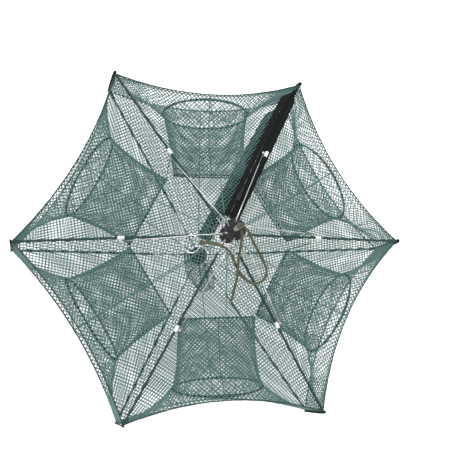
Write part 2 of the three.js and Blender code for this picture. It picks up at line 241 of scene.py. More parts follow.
finish = {
    "twine": makeMaterial("netTwine", (0.086, 0.184, 0.173), (0.140, 0.258, 0.244), (0.42, 0.6), 30,
                          1500, 0.3),
    # the funnel twine is the cover twine painted darker and greener: painted shade inside the recessed
    # funnel
    "funnelTwinePaintedShade": makeMaterial("funnelTwinePaintedShade", (0.055, 0.150, 0.138), (0.100, 0.215, 0.200),
                                (0.42, 0.6), 30, 1500, 0.3),
    "hemTwine": makeMaterial("hemTwine", (0.008, 0.030, 0.026), (0.022, 0.062, 0.054), (0.5, 0.7), 90,
                             1300, 0.5, Specular_IOR_Level=0.25),
    "wire": makeMaterial("springWire", (0.50, 0.51, 0.52), (0.70, 0.71, 0.72), (0.2, 0.34), 60, 1800,
                         0.15, Metallic=1.0),
    "ring": makeMaterial("platedRing", (0.62, 0.62, 0.62), (0.80, 0.80, 0.80), (0.12, 0.22), 60, 1500,
                         0.1, Metallic=1.0),
    "nylon": makeMaterial("whiteNylon", (0.68, 0.70, 0.67), (0.82, 0.83, 0.80), (0.32, 0.45), 90, 700,
                          0.15),
    "plastic": makeMaterial("blackPlastic", (0.008, 0.008, 0.009), (0.024, 0.024, 0.026), (0.34, 0.5),
                            70, 1100, 0.25, Specular_IOR_Level=0.3),
    "webbing": makeMaterial("blackWebbing", (0.006, 0.008, 0.008), (0.020, 0.023, 0.022), (0.7, 0.85),
                            120, 900, 0.7, 0.0004, {"Across": (0, 0, 1), "Along": (1, 0.6, 0)},
                            Specular_IOR_Level=0.15),
    "zipTape": makeMaterial("zipTape", (0.004, 0.005, 0.005), (0.014, 0.016, 0.016), (0.7, 0.85), 120,
                            900, 0.7, 0.0003, {"Across": (0.5, 0.866, 0), "Along": (0.866, -0.5, 0)},
                            Specular_IOR_Level=0.12),
    "coil": makeMaterial("zipCoil", (0.010, 0.011, 0.012), (0.035, 0.037, 0.038), (0.5, 0.65), 90,
                         900, 0.2, Specular_IOR_Level=0.15),
    # the tuck's twine is the lower cover's twine painted much darker and greener: painted shade in its
    # pleats
    "tuckTwinePaintedShade": makeMaterial("tuckTwinePaintedShade", (0.001, 0.048, 0.039), (0.006, 0.095, 0.080), (0.45, 0.65),
                              50, 1500, 0.3),
    "rope": makeMaterial("oliveRope", (0.034, 0.034, 0.018), (0.108, 0.104, 0.060), (0.6, 0.8), 160,
                         1600, 0.6, 0.0004),
    "tube": makeMaterial("clearTube", (0.72, 0.78, 0.76), (0.84, 0.88, 0.86), (0.18, 0.3), 60, 900,
                         0.1, Transmission_Weight=0.65, IOR=1.45),
}
print("materials made:", len(finish))


def finishPiece(name, bm, *materials, smooth=True):
    for face in bm.faces:
        face.smooth = smooth
    mesh = bpy.data.meshes.new(name)
    bm.to_mesh(mesh)
    bm.free()
    piece = bpy.data.objects.new(name, mesh)
    scene.collection.objects.link(piece)
    for material in materials:
        mesh.materials.append(material)
    return piece


def swingRound(bm, angle):
    # turns a shape made along +X about the trap's own axis, faces outward
    bmesh.ops.transform(bm, matrix=turnZ(angle), verts=bm.verts)
    bmesh.ops.recalc_face_normals(bm, faces=bm.faces)


def pathFrames(points, closed):
    # a frame at each point that turns with the path and doesn't twist about it
    frames = []
    count = len(points)
    side = None
    for k, here in enumerate(points):
        ahead = points[(k + 1) % count] if closed else points[min(k + 1, count - 1)]
        behind = points[k - 1] if closed or k else points[0]
        along = (ahead - behind).normalized()
        if side is None:
            side = along.orthogonal().normalized()
        side = (side - along * side.dot(along)).normalized()
        frames.append(Matrix((side, along.cross(side), along)).transposed().to_4x4())
        frames[-1].translation = here
    return frames


def sweep(bm, points, radius, faces=8, closed=False, twist=0.0, ridge=None):
    # pulls a round section along the points; ridge(k, angle) swells or narrows it
    frames = pathFrames(points, closed)
    ring = bmesh.ops.create_circle(bm, segments=faces, radius=radius)["verts"]
    base = [v.co.copy() for v in ring]
    edges = list(dict.fromkeys(e for v in ring for e in v.link_edges))
    first = list(ring)
    firstEdges = list(edges)
    verts = ring
    for k, place in enumerate(frames):
        if k:
            made = bmesh.ops.extrude_edge_only(bm, edges=edges)["geom"]
            lookup = {}
            edges = [g for g in made if isinstance(g, bmesh.types.BMEdge)]
            fresh = {g for g in made if isinstance(g, bmesh.types.BMVert)}
            for v in verts:
                for e in v.link_edges:
                    other = e.other_vert(v)
                    if other in fresh:
                        lookup[v] = other
            verts = [lookup[v] for v in verts]
        for j, v in enumerate(verts):
            angle = 2 * math.pi * j / faces
            swell = ridge(k, angle) if ridge else 1.0
            v.co = place @ (Matrix.Rotation(twist * k, 3, "Z") @ (base[j] * swell))
    if closed:
        bmesh.ops.bridge_loops(bm, edges=firstEdges + edges)
    else:
        bmesh.ops.contextual_create(bm, geom=first)
        bmesh.ops.contextual_create(bm, geom=verts)


def circlePoints(count):
    return [Vector((math.cos(a), math.sin(a), 0))
            for a in (2 * math.pi * k / count for k in range(count))]


def smoothPath(points, step):
    # a Catmull-Rom curve through the points, cut to even steps
    knots = [Vector(p) for p in points]
    fine = []
    for k in range(len(knots) - 1):
        a = knots[max(k - 1, 0)]
        b, c = knots[k], knots[k + 1]
        d = knots[min(k + 2, len(knots) - 1)]
        for m in range(16):
            t = m / 16
            fine.append(0.5 * ((2 * b) + (c - a) * t + (2 * a - 5 * b + 4 * c - d) * t * t
                               + (3 * b - 3 * c + d - a) * t ** 3))
    fine.append(knots[-1])
    return evenly(fine, step)


def evenly(points, step):
    total = sum((b - a).length for a, b in zip(points, points[1:]))
    count = max(2, round(total / step))
    out = [points[0].copy()]
    gone, target = 0.0, total / count
    for a, b in zip(points, points[1:]):
        length = (b - a).length
        while gone + length >= target - 1e-9 and len(out) < count:
            out.append(a.lerp(b, (target - gone) / length))
            target += total / count
        gone += length
    out.append(points[-1].copy())
    return out


def pathLength(points):
    return sum((b - a).length for a, b in zip(points, points[1:]))


rope = {
    "diameter": 5 * mm,
    "strands": 4,
    "twistPitch": 16 * mm,
    "step": 1.6 * mm,
    "crownKnot": 3.1 * mm,     # size of each knot's own curve
    "ringKnot": 2.4 * mm,
    # millimetres: from the knot over the guide tube to the pull ring
    "route": [
        (7.6, -2.5, 334), (16, -9, 330), (26, -20, 316), (38, -32, 300), (50, -44, 286),
        (60, -56, 275), (67, -68, 268), (68, -80, 266), (61, -91, 266), (49, -97, 267),
        (37, -97, 268), (26, -90, 268), (15, -79, 269), (6, -65, 275), (-3, -51, 286),
        (-13, -39, 295), (-26, -31, 297), (-41, -25, 291), (-58, -21, 280.5)],
    "tail": [
        (2.5, -8, 332), (5, -18, 325), (7, -31, 309), (8, -45, 294), (8, -59, 284),
        (8, -73, 277), (8, -87, 268), (7, -101, 256), (6, -114, 244), (5, -125, 234)],
}


pullRing = {
    "radius": 16.5 * mm,
    "wireRadius": 1.3 * mm,
    "facing": Vector((-0.4748, -0.35, 1)).normalized(),   # it leans on the upper cover
}


def laidRope(name, route):
    points = smoothPath([Vector(p) * mm for p in route], rope["step"])
    bm = bmesh.new()
    sweep(bm, points, rope["diameter"] / 2, 16, twist=2 * math.pi * rope["step"] / rope["twistPitch"],
          ridge=lambda k, angle: 0.94 + 0.09 * abs(math.cos(rope["strands"] * angle / 2)))
    bmesh.ops.recalc_face_normals(bm, faces=bm.faces)
    return finishPiece(name, bm, finish["rope"]), points


def overhand(name, centre, size, turns=3, steps=48):
    # a tight knot: a strand wound round itself
    bm = bmesh.new()
    points = []
    for k in range(steps):
        a = 2 * math.pi * k / steps
        swing = math.cos(turns * a) * 0.42 + 1
        points.append(centre + Vector((math.cos(2 * a) * swing, math.sin(2 * a) * swing,
                                       math.sin(turns * a) * 0.9)) * size)
    sweep(bm, points, rope["diameter"] / 2, 10, closed=True,
          ridge=lambda k, angle: 0.95 + 0.06 * math.cos(3 * angle + k * 1.1))
    bmesh.ops.recalc_face_normals(bm, faces=bm.faces)
    return finishPiece(name, bm, finish["rope"])


def middleOf(node):
    low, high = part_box(node)
    return (Vector(low) + Vector(high)) / 2


def liftRing():
    bm = bmesh.new()
    lean = pullRing["facing"].to_track_quat("Z", "Y").to_matrix().to_4x4()
    place = Matrix.Translation(middleOf("pull_ring")) @ lean
    loop = [place @ (spot * pullRing["radius"]) for spot in circlePoints(64)]
    sweep(bm, loop, pullRing["wireRadius"], 12, closed=True)
    bmesh.ops.recalc_face_normals(bm, faces=bm.faces)
    return finishPiece("lift_ring", bm, finish["ring"])


def addRope():
    main, mainPath = laidRope("pull_rope", rope["route"])
    tail, tailPath = laidRope("rope_tail_end", rope["tail"])
    knot = overhand("crown_knot", middleOf("rope_knot"), rope["crownKnot"])
    ringKnot = overhand("ring_knot", mainPath[-1] + Vector((-1.5, 0, -0.4)) * mm, rope["ringKnot"])
    ring = liftRing()
    for piece, node in ((main, "lift_rope"), (tail, "rope_tail"), (knot, "rope_knot"),
                        (ring, "pull_ring")):
        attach(piece, "top_hub")
        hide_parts(node)
    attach(ringKnot, "top_hub")
    print("rope", round(pathLength(mainPath), 3), "tail", round(pathLength(tailPath), 3))


addRope()


net = {
    "pitch": 6.2 * mm,         # knot to knot
    "twine": 2.0 * mm,
    "hubGap": 24 * mm,         # the covers stop short of the hubs
    "sag": 3 * mm,
    "packed": 0.27,            # share of a cover's width left when the trap is folded
    "sidePacked": 0.29,
    "coverLeft": 0.98,         # share of a cover's flat triangles left once its edges are cut
    "uneven": 1.2,             # share by which the sag comes and goes over the cover
    "drawFade": 1.6,           # how soon the inward draw of a side dies out towards the hub
    "topLift": -7.0 * mm,      # the top cover hangs under its ribs and is drawn up at each one
    "topGather": (4.6 * mm, 8),        # height at the rib, and how close to the rib it starts
    "zipDip": (-5.4 * mm, 1.4),
    "level": (0.0, 1),
    "bottomLift": -1.8 * mm,
}


def diamonds(width, height, pitch):
    # square meshes standing on their corners, cut to a rectangle from the origin
    half = math.ceil((width + height) / pitch / math.sqrt(2)) + 1
    bm = bmesh.new()
    bmesh.ops.create_grid(bm, x_segments=2 * half, y_segments=2 * half, size=1)
    span = max(v.co.x for v in bm.verts)
    bmesh.ops.scale(bm, vec=(half * pitch / span,) * 3, verts=bm.verts)
    bmesh.ops.rotate(bm, matrix=Matrix.Rotation(math.pi / 4, 3, "Z"), verts=bm.verts)
    cutAway(bm, (0, 0, 0), (-1, 0, 0))
    cutAway(bm, (0, 0, 0), (0, -1, 0))
    cutAway(bm, (width, 0, 0), (1, 0, 0))
    cutAway(bm, (0, height, 0), (0, 1, 0))
    return bm


def cutAway(bm, point, outward):
    bmesh.ops.bisect_plane(bm, geom=bm.verts[:] + bm.edges[:] + bm.faces[:], plane_co=point,
                           plane_no=outward, clear_outer=True, dist=1e-6)


def knit(piece, twine):
    strands = piece.modifiers.new("twine", "WIREFRAME")
    strands.thickness = twine
    strands.use_even_offset = False
    strands.use_boundary = True
    strands.use_replace = True


def sagIn(share, panel):
    # inward curve of a side edge: nothing at the corners, most in the middle (share 0)
    return trap["sidePull"][(panel - 1) % 6] * (1 - share * share)


def coverPoint(x, y, panel, hubHeight, tipHeight, lift, gather):
    # x runs out along the middle of a side, y across it towards the rib that gathers it up
    level = x / trap["apothem"]
    share = min(1.0, y / max(x * math.tan(sixth / 2), 1e-9))
    ribRadius = level * trap["cornerRadius"]
    rise = (tipHeight - hubHeight) / ribRun
    out = x - sagIn(share, panel) * level ** net["drawFade"]
    slack = net["sag"] * (1 - share * share) * math.sin(math.pi * min(level, 1))
    slack *= 1 + net["uneven"] * noise.noise(Vector((x * 14, y * 11, tipHeight * 40)))
    height = hubHeight + (ribRadius - trap["hubPivotRadius"]) * rise + lift - slack
    height += gather[0] * share ** gather[1]
    angle = sixth / 2
    return Vector((out * math.cos(angle) + y * math.sin(angle),
                   out * math.sin(angle) - y * math.cos(angle), height))


def coverSector(name, i, hubHeight, tipHeight, lift, gather):
    bm = diamonds(trap["apothem"] - 0.5 * mm, trap["halfSide"], net["pitch"])
    cutAway(bm, (0, 0, 0), (-math.sin(sixth / 2), math.cos(sixth / 2), 0))
    cutAway(bm, (net["hubGap"], 0, 0), (-1, 0, 0))
    # the same half again for the side before the rib, mirrored across the rib
    copied = bmesh.ops.duplicate(bm, geom=bm.verts[:] + bm.edges[:] + bm.faces[:])["geom"]
    before = {g for g in copied if isinstance(g, bmesh.types.BMVert)}
    bmesh.ops.reverse_faces(bm, faces=[g for g in copied if isinstance(g, bmesh.types.BMFace)])
    for v in bm.verts:
        panel = i - 1 if v in before else i
        v.co = coverPoint(v.co.x, v.co.y, panel, hubHeight, tipHeight, lift, gather)
    bmesh.ops.scale(bm, vec=(1, -1, 1), verts=list(before))
    bmesh.ops.remove_doubles(bm, verts=bm.verts, dist=1e-5)
    bmesh.ops.transform(bm, matrix=turnZ(ribAngle(i)), verts=bm.verts)
    piece = finishPiece(name, bm, finish["twine"], smooth=False)
    knit(piece, net["twine"])
    return piece


def addCovers():
    for i in range(1, 7):
        # both covers stay under the zip tapes at the second rib
        atZip = i == zipRib
        topGather = net["level"] if atZip else net["topGather"]
        bottomGather = net["zipDip"] if atZip else net["level"]
        for level, hub, tip, lift, up in (
                ("top", trap["topPivot"], trap["topTip"], net["topLift"], topGather),
                ("bottom", trap["bottomPivot"], trap["bottomTip"], net["bottomLift"], bottomGather)):
            piece = coverSector(f"{level}_gore_{i}", i, hub, tip, lift, up)
            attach(piece, f"{level}_rib_{i}")
            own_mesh(piece)
            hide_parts(f"{level}_net")
    print("covers knitted")


hoop = {
    "radius": 288 * mm,
    "height": 125 * mm,
    "halfWidth": 93 * mm,
    "halfHeight": 46 * mm,
    "lean": math.radians(22),
    "wire": 4.0 * mm,
    "wrapPitch": 5 * mm,
    "wrapSteps": 360,
    "wrapRidge": 0.24,
    "bunch": 0.9,              # the wrapped net is thicker in places
    "drawReach": 0.95,         # how far past the hoop the side net is drawn in, in hoop sizes
    "drawIn": 0.15,            # less inward pull away from the net's upper and lower edges
}


def hoopPoint(angle, a, b, lean, radius, height):
    rise = b * math.sin(angle)
    return Vector((radius + rise * math.sin(lean), a * math.cos(angle),
                   height + rise * math.cos(lean)))


def hoopGirth():
    return 2 * math.pi * math.sqrt((hoop["halfWidth"] ** 2 + hoop["halfHeight"] ** 2) / 2)


def sidePoint(s, z, panel):
    # s is the distance from the middle of the side; the net is drawn in to the hoop
    flatHeight = hoop["halfHeight"] * math.cos(hoop["lean"])
    up = z - hoop["height"]
    reach = math.hypot(s / hoop["halfWidth"], up / flatHeight)
    if reach < 1:
        s, up = s / max(reach, 1e-6), up / max(reach, 1e-6)
        reach = 1
    z = hoop["height"] + up
    middle = (trap["topTip"] + trap["bottomTip"]) / 2
    half = (trap["topTip"] - trap["bottomTip"]) / 2
    edge = max(0.0, 1 - abs((z - middle) / half) ** 6)
    draw = max(0.0, 1 - (reach - 1) / hoop["drawReach"]) ** 2 * edge
    out = trap["apothem"] - sagIn(s / trap["halfSide"], panel) * (1 - hoop["drawIn"] * edge)
    ringOut = hoop["radius"] + up * math.tan(hoop["lean"])
    return Vector((out + (ringOut - out) * draw, s, z))


def panelBeside(i, hand):
    # the side that a corner's left (-1) or right (1) half net belongs to
    return i if hand < 0 else i - 1


def sideHalf(name, i, hand):
    # one half of a side net, from its middle to the corner it hangs on
    height = trap["topTip"] - trap["bottomTip"]
    bm = diamonds(trap["halfSide"] - 0.5 * mm, height, net["pitch"])
    flatHeight = hoop["halfHeight"] * math.cos(hoop["lean"])

    def inHole(v):
        return math.hypot(v.co.x / hoop["halfWidth"],
                          (v.co.y + trap["bottomTip"] - hoop["height"]) / flatHeight) < 0.999
    hole = [f for f in bm.faces if all(inHole(v) for v in f.verts)]
    bmesh.ops.delete(bm, geom=hole, context="FACES")
    panel = panelBeside(i, hand)
    for v in bm.verts:
        v.co = sidePoint(v.co.x, v.co.y + trap["bottomTip"], panel)
    bmesh.ops.remove_doubles(bm, verts=bm.verts, dist=0.3 * mm)
    if hand < 0:
        bmesh.ops.scale(bm, vec=(1, -1, 1), verts=bm.verts)
    swingRound(bm, panelAngle(panel))
    piece = finishPiece(name, bm, finish["twine"], smooth=False)
    knit(piece, net["twine"])
    return piece


def hangOnCorner(piece, i):
    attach(piece, f"corner_{i}")
    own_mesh(piece)


hem = {
    "radius": 1.2 * mm,
    "ridge": 0.16,
    "wander": 0.5 * mm,
}


def sideHem(i, hand, height):
    # a twisted cord sewn along the edge of a cover, from a corner to the middle of the side
    half = trap["halfSide"]
    panel = panelBeside(i, hand)
    steps = 90
    points = []
    for k in range(steps + 1):
        s = half * k / steps
        wander = hem["wander"] * noise.noise(Vector((s * 90, i * 3.7, height * 50 + hand)))
        points.append(Vector((trap["apothem"] - sagIn(s / half, panel) + wander, s * hand,
                              height + wander)))
    bm = bmesh.new()
    sweep(bm, points, hem["radius"], 8,
          ridge=lambda k, angle: 1 + hem["ridge"] * math.sin(angle + k * 1.9))
    swingRound(bm, panelAngle(panel))
    return bm


def addSides():
    for i in range(1, 7):
        for hand, label in ((-1, "left"), (1, "right")):
            piece = sideHalf(f"side_net_{i}_{label}", i, hand)
            hangOnCorner(piece, i)
            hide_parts("side_net")
            for level, z in (("top", trap["topTip"]), ("bottom", trap["bottomTip"])):
                cord = finishPiece(f"{level}_hem_{i}_{label}", sideHem(i, hand, z), finish["hemTwine"])
                hangOnCorner(cord, i)
    print("side nets knitted")


funnel = {
    "columns": 50,             # meshes round the funnel
    "slitRadius": 150 * mm,
    "slitHalfWidth": 80 * mm,
    "slitHalfHeight": 6 * mm,
    "aside": [4 * mm, -5 * mm, 3 * mm, -4 * mm, 5 * mm, -3 * mm],   # no two mouths hang alike
    "crease": 6 * mm,
    "slack": 4 * mm,
    "waist": 0.05,             # share drawn in halfway along
    "hoopGap": 1 * mm,
    "taper": 0.9,              # mean girth as a share of the hoop's
    "clothLeft": 0.93,         # share of the flat cloth left once its ends are cut
    "packed": 0.1,
    "lip": 1.5 * mm,
    "tie": 0.8 * mm,
    "tieTo": (16, 8, 88),      # millimetres from a corner of the mouth
    "seam": 0.9 * mm,
}


def funnelPoint(i, turn, inward):
    gap = funnel["hoopGap"]
    start = hoopPoint(turn, hoop["halfWidth"] - gap, hoop["halfHeight"] - gap, hoop["lean"],
                      hoop["radius"], hoop["height"])
    end = hoopPoint(turn, funnel["slitHalfWidth"], funnel["slitHalfHeight"], hoop["lean"] * 0.4,
                    funnel["slitRadius"], hoop["height"])
    spot = start.lerp(end, inward)
    halfway = math.sin(math.pi * inward)
    spot.z -= funnel["slack"] * halfway * (1.2 + math.sin(turn))
    spot.y *= 1 - funnel["waist"] * halfway
    spot.y += funnel["aside"][i - 1] * inward ** 2
    crease = noise.noise(Vector((turn * 2.2, inward * 3.0, i * 4.3)))
    return spot + Vector((0, 0.3, 1)) * crease * funnel["crease"] * halfway


def funnelNet(i):
    around = hoopGirth() * funnel["taper"]
    diagonal = around / funnel["columns"]
    length = hoop["radius"] - funnel["slitRadius"]
    bm = diamonds(around, length, diagonal / math.sqrt(2))
    for v in bm.verts:
        v.co = funnelPoint(i, 2 * math.pi * v.co.x / around, v.co.y / length)
    bmesh.ops.remove_doubles(bm, verts=bm.verts, dist=1e-5)
    swingRound(bm, panelAngle(i))
    piece = finishPiece(f"funnel_net_{i}", bm, finish["funnelTwinePaintedShade"], smooth=False)
    knit(piece, net["twine"])
    return piece, around, length


def wrappedHoop(i):
    steps = hoop["wrapSteps"]
    points = [hoopPoint(2 * math.pi * k / steps, hoop["halfWidth"], hoop["halfHeight"], hoop["lean"],
                        hoop["radius"], hoop["height"]) for k in range(steps)]
    turns = round(hoopGirth() / hoop["wrapPitch"])

    def wrap(k, angle):
        spiral = hoop["wrapRidge"] * max(0, math.sin(angle + 2 * math.pi * turns * k / steps))
        bunch = hoop["bunch"] * max(0, noise.noise(points[k] * 40 + Vector((0, 0, i * 3.1))))
        return 1 + spiral + bunch * math.sin(math.pi * k / steps) ** 0.5
    bm = bmesh.new()
    sweep(bm, points, hoop["wire"] / 2, 8, closed=True, ridge=wrap)
    swingRound(bm, panelAngle(i))
    return finishPiece(f"wrapped_hoop_{i}", bm, finish["hemTwine"])


def slitEdge(i):
    # the selvedge of the slit, its two tie cords and the seam along the funnel
    bm = bmesh.new()
    steps = 120
    lip = [funnelPoint(i, 2 * math.pi * k / steps, 1.0) for k in range(steps)]

    def uneven(k, angle):
        return 1 + 0.15 * math.sin(angle + k * 1.7) + 0.3 * noise.noise(Vector((k * 0.2, i, 0)))
    sweep(bm, lip, funnel["lip"], 8, closed=True, ridge=uneven)
    back, aside, above = funnel["tieTo"]
    for side in (-1, 1):
        tip = funnelPoint(i, 0 if side > 0 else math.pi, 1.0)
        up = tip + Vector((back, side * aside, above)) * mm
        tie = evenly([tip, tip.lerp(up, 0.5) + Vector((0, 0, -2 * mm)), up], 8 * mm)
        sweep(bm, tie, funnel["tie"], 6)
    seam = [funnelPoint(i, math.pi / 2, k / 24) for k in range(25)]
    sweep(bm, seam, funnel["seam"], 6, ridge=lambda k, angle: 1 + 0.2 * math.sin(angle + k * 2.1))
    swingRound(bm, panelAngle(i))
    return finishPiece(f"funnel_edge_{i}", bm, finish["hemTwine"])


def addEntrances():
    for i in range(1, 7):
        cloth, around, length = funnelNet(i)
        edge = slitEdge(i)
        ring = wrappedHoop(i)
        for piece in (cloth, edge):
            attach(piece, f"hoop_{i}")
            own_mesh(piece)
        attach(ring, f"hoop_{i}")
        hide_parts(f"entrance_funnel_{i}")
        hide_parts(f"entrance_hoop_{i}")
    print("entrances made")


arms = {
    "seamFrom": {"top": 26 * mm, "bottom": 92 * mm},   # bare wire shows near the hubs
    "seam": 2.3 * mm,
    "seamEnd": 4 * mm,
    "seamDrop": 0.3 * mm,
    "seamWander": 0.6 * mm,
    "seamSteps": 260,
    "stitchPitch": 9 * mm,
    "eye": 2.4 * mm,
    "eyeWire": 0.95 * mm,
    "clipAlong": 190 * mm,
    "crownPivotRadius": pivots["strut_1_hinge"].x,
    "crownPivot": pivots["strut_1_hinge"].z,
    "strutAside": pivots["strut_1_hinge"].y,
    "strutWire": 2.0 * mm,
}


def ribPoint(level, along):
    hub = trap["topPivot"] if level == "top" else trap["bottomPivot"]
    rise = -math.sin(ribSlope) if level == "top" else math.sin(ribSlope)
    return Vector((trap["hubPivotRadius"] + along * math.cos(ribSlope), 0, hub + along * rise))


def wireArm(bm, hub, tip, wire, farEye):
    # a drawn wire with its end turned into an eye
    along = (tip - hub).normalized()
    tube = [hub + along * arms["eye"], hub.lerp(tip, 0.3), hub.lerp(tip, 0.7),
            tip - along * (arms["eye"] if farEye else 0)]
    sweep(bm, tube, wire / 2, 12)
    for spot in (hub, tip) if farEye else (hub,):
        loop = [spot + Vector((flat.x, 0, flat.y)) * arms["eye"] for flat in circlePoints(24)]
        sweep(bm, loop, arms["eyeWire"], 8, closed=True)


def ribSeam(level, i):
    # the net is lashed to the rib: a gathered roll of net with a spiral of twine
    start = arms["seamFrom"][level]
    steps = arms["seamSteps"]
    row = 1.0 if level == "top" else 7.0
    lower = Vector((0, 0, -arms["seamDrop"]))
    points = []
    for k in range(steps + 1):
        at = start + (ribLength - arms["seamEnd"] - start) * k / steps
        sway, dip = (noise.noise(Vector((at * 60, i * 5.1, row + axis))) for axis in (3.4, 6.8))
        points.append(ribPoint(level, at) + lower + Vector((0, sway, dip)) * arms["seamWander"])
    turns = (ribLength - start) / arms["stitchPitch"]

    def lashing(k, angle):
        taper = min(1.0, 0.72 + k / 60)   # thinner where it starts, near the hub
        stitch = 0.20 * max(0, math.sin(angle + 2 * math.pi * turns * k / steps)) ** 3
        return taper * (1 + stitch + 0.08 * noise.noise(Vector((k * 0.35, angle, i * 2.0))))
    bm = bmesh.new()
    sweep(bm, points, arms["seam"], 10, ridge=lashing)
    swingRound(bm, ribAngle(i))
    # the zip tape wraps its own rib
    look = "zipTape" if level == "top" and i == zipRib else "hemTwine"
    return finishPiece(f"{level}_rib_seam_{i}", bm, finish[look])


def addArms():
    for i in range(1, 7):
        for level in ("top", "bottom"):
            bm = bmesh.new()
            wireArm(bm, ribPoint(level, 0), ribPoint(level, ribLength - 1 * mm), trap["ribWire"], False)
            swingRound(bm, ribAngle(i))
            wire = finishPiece(f"{level}_wire_{i}", bm, finish["wire"])
            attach(wire, f"{level}_rib_{i}")
            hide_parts(f"{level}_rib_{i}")
            seam = ribSeam(level, i)
            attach(seam, f"{level}_rib_{i}")
        bm = bmesh.new()
        aside = Vector((0, arms["strutAside"], 0))
        wireArm(bm, Vector((arms["crownPivotRadius"], 0, arms["crownPivot"])) + aside,
                ribPoint("top", arms["clipAlong"]) + aside, arms["strutWire"], True)
        swingRound(bm, ribAngle(i))
        strut = finishPiece(f"strut_wire_{i}", bm, finish["wire"])
        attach(strut, f"strut_{i}")
        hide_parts(f"strut_{i}")
        collar = clipPiece(i)
        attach(collar, f"top_rib_{i}")
        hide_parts(f"rib_clip_{i}")
    print("ribs and struts made")


clip = {
    "radius": 3.7 * mm,
    "length": 13 * mm,
    "edge": 0.6 * mm,
    # radius, length and distance from the rib of the boss and of its head
    "boss": (1.3 * mm, 6.5 * mm, 5 * mm),
    "head": (2.6 * mm, 0.9 * mm, 8.3 * mm),
}


def clipPiece(i):
    # a nylon collar with a boss that carries the strut's eye
    bm = bmesh.new()
    middle = ribPoint("top", arms["clipAlong"])
    out = Vector((math.cos(ribSlope), 0, -math.sin(ribSlope)))
    lie = out.to_track_quat("Z", "Y").to_matrix().to_4x4()
    bmesh.ops.create_cone(bm, cap_ends=True, segments=20, radius1=clip["radius"],
                          radius2=clip["radius"], depth=clip["length"],
                          matrix=Matrix.Translation(middle) @ lie)
    bmesh.ops.bevel(bm, geom=bm.edges[:], offset=clip["edge"], segments=2, profile=0.5,
                    affect="EDGES", material=-1, clamp_overlap=True)
    for radius, length, aside in (clip["boss"], clip["head"]):
        spot = Matrix.Translation(middle + Vector((0, aside, 0))) @ Matrix.Rotation(math.pi / 2, 4, "X")
        bmesh.ops.create_cone(bm, cap_ends=True, segments=14, radius1=radius, radius2=radius,
                              depth=length, matrix=spot)
    swingRound(bm, ribAngle(i))
    return finishPiece(f"nylon_clip_{i}", bm, finish["nylon"], smooth=False)


strap = {
    "width": 13 * mm,
    "thickness": 1.4 * mm,
    "out": 3.2 * mm,           # rib tip to strap
    "overlap": 6 * mm,         # past the rib tips, at both ends
    "sleeve": 13 * mm,
    "sleeveRadius": 2.9 * mm,
    "curl": 1.2 * mm,
    "bow": 0.8 * mm,
    "endWidth": 0.55,          # gathered at its ends
    "spread": 0.35,
}


def cornerStrap(i):
    bm = bmesh.new()
    low, high = trap["bottomTip"] - strap["overlap"], trap["topTip"] + strap["overlap"]
    centre = Vector((trap["cornerRadius"] + strap["out"], 0, (low + high) / 2))
    bmesh.ops.create_cube(bm, size=1, matrix=Matrix.Translation(centre)
                          @ Matrix.Diagonal((strap["thickness"], strap["width"], high - low, 1)))
    bmesh.ops.subdivide_edges(bm, edges=bm.edges[:], cuts=7, use_grid_fill=True)
    for v in bm.verts:
        along = (v.co.z - low) / (high - low)
        side = v.co.y / (strap["width"] / 2)
        halfway = max(0, math.sin(math.pi * along))
        v.co.x -= strap["curl"] * side * side + strap["bow"] * halfway
        v.co.y *= strap["endWidth"] + strap["spread"] * halfway ** 0.5
    swingRound(bm, ribAngle(i))
    return finishPiece(f"corner_web_{i}", bm, finish["webbing"])


def tipSleeve(level, i):
    # the pocket of gathered net that holds a rib tip
    tip = ribPoint(level, ribLength)
    inner = ribPoint(level, ribLength - strap["sleeve"])
    route = evenly([inner, tip + (tip - inner) * 0.14], 1.2 * mm)
    bm = bmesh.new()
    sweep(bm, route, strap["sleeveRadius"], 12, ridge=lambda k, angle: (
        0.72 + 0.3 * math.sin(math.pi * k / (len(route) - 1))) * (1 + 0.07 * math.sin(5 * angle + k)))
    swingRound(bm, ribAngle(i))
    return finishPiece(f"{level}_tip_sleeve_{i}", bm, finish["hemTwine"])


def addCorners():
    for i in range(1, 7):
        web = cornerStrap(i)
        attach(web, f"corner_{i}")
        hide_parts(f"corner_strap_{i}")
        for level in ("top", "bottom"):
            sleeve = tipSleeve(level, i)
            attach(sleeve, f"{level}_rib_{i}")
    print("corners bound")


zipper = {
    "start": 22 * mm,
    "end": ribLength - 15 * mm,
    "taper": 34 * mm,          # the tapes narrow into the corner
    "aside": 8 * mm,
    "width": 32 * mm,
    "thickness": 0.7 * mm,
    "ripple": 1.3 * mm,
    "wander": 1.1 * mm,
    "coilAside": 13 * mm,
    "coilGap": 0.8 * mm,
    "coilPitch": 2.4 * mm,
    "coilAcross": 2.4 * mm,
    "coilUp": 0.8 * mm,
    "coilWire": 0.5 * mm,
    "coilFaces": 6,            # steps in each turn of the coil
    "coilLift": {"top": 1 * mm, "bottom": -1 * mm},
    "packed": 0.3,             # share of its width left when the trap is folded
    "lift": {"top": -5.1 * mm, "bottom": -4.4 * mm},
}


def zipTaper(along):
    return min(1.0, max(0.25, (zipper["end"] - along) / zipper["taper"]))


